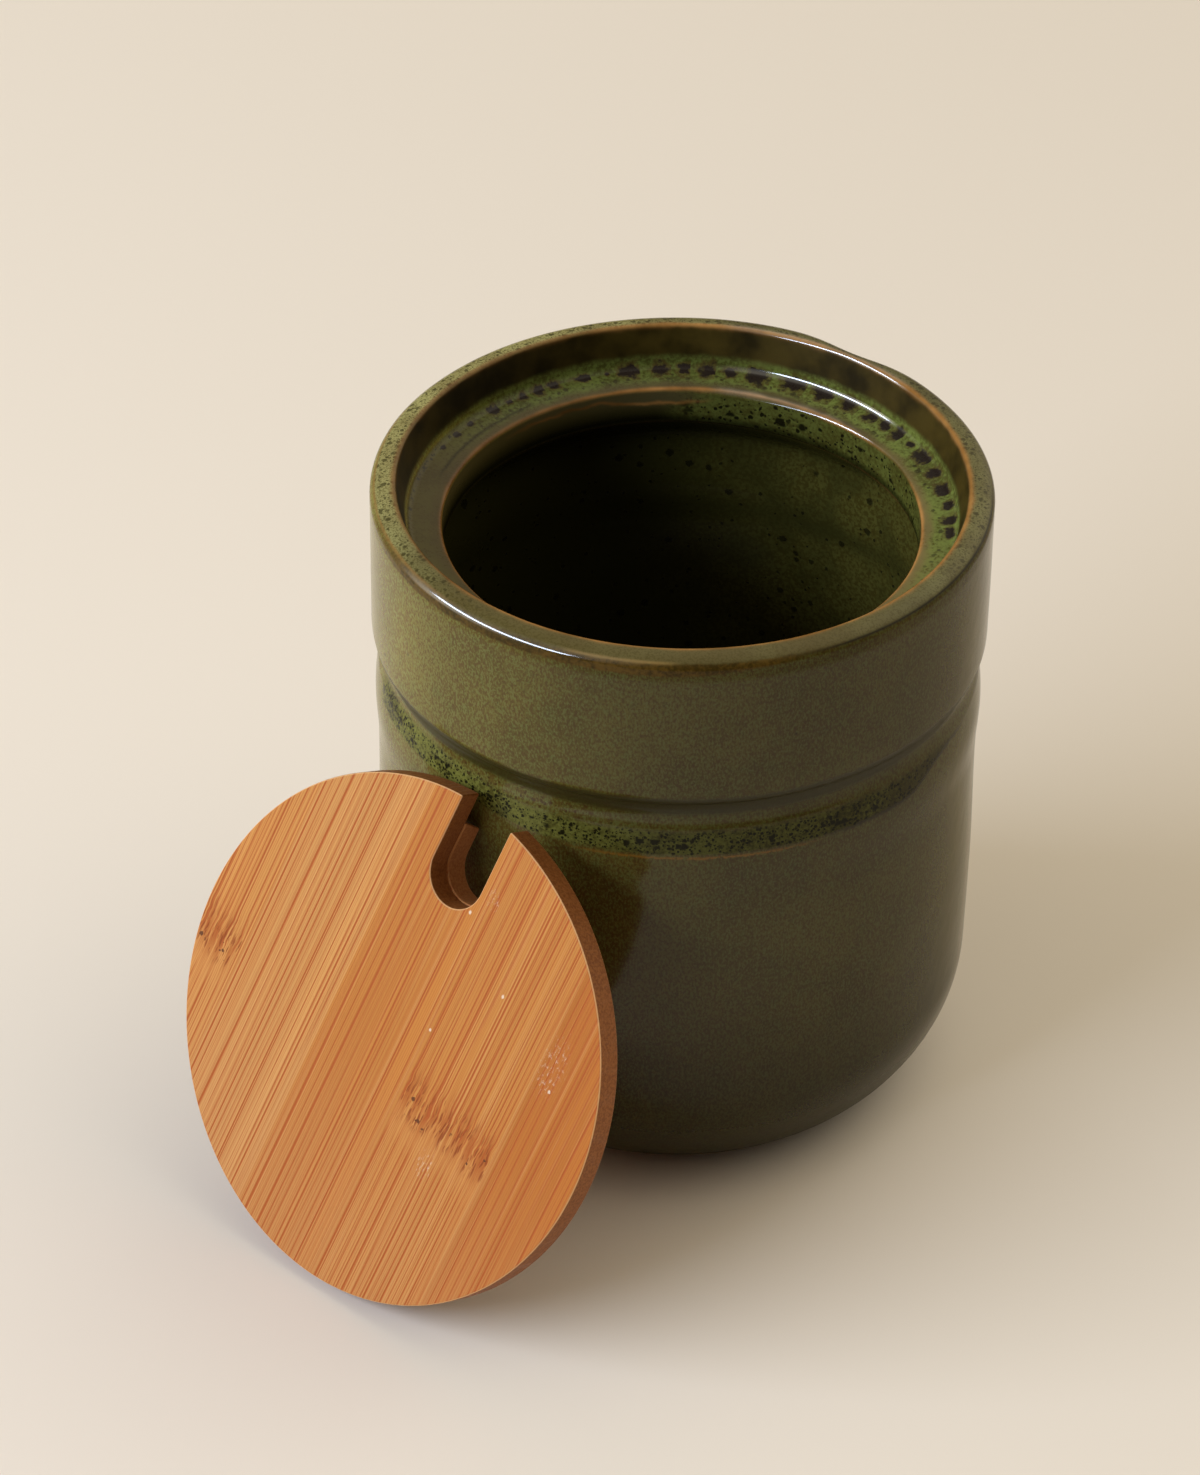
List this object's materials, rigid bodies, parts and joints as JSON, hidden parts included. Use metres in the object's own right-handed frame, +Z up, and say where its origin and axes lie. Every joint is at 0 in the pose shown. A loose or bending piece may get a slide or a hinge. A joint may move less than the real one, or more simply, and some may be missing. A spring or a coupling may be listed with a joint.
{
  "type": "ceramic jar",
  "caption": "Round glazed stoneware storage jar with a collar band and a stepped gallery, and a round bamboo lid with a spoon slot leaning against it.",
  "frame": {"origin": "on the jar's axis, at the level of the floor that it stands on", "axes": "+Z up along the jar's axis, -Y towards the lid that leans on the jar, +X to the right seen from the lid"},
  "size_m": [0.114, 0.1598, 0.126],
  "materials": {
    "olive_glaze": "satin-gloss reactive glaze, olive green with brown edges and dark specks",
    "plate_bamboo": "carbonised bamboo strips, fine sanded, lightly oiled",
    "plug_bamboo": "carbonised bamboo strips, turned edge, matt"
  },
  "bodies": {
    "jar": {"jar_body": "olive_glaze"},
    "lid": {"lid_plate": "plate_bamboo", "lid_plug": "plug_bamboo"}
  },
  "joints": [
    {"name": "lid_lift", "type": "slide", "parent": "jar", "child": "lid", "axis": [0, -0.1736, 0.9848], "range_m": [0, 0.13]}
  ]
}
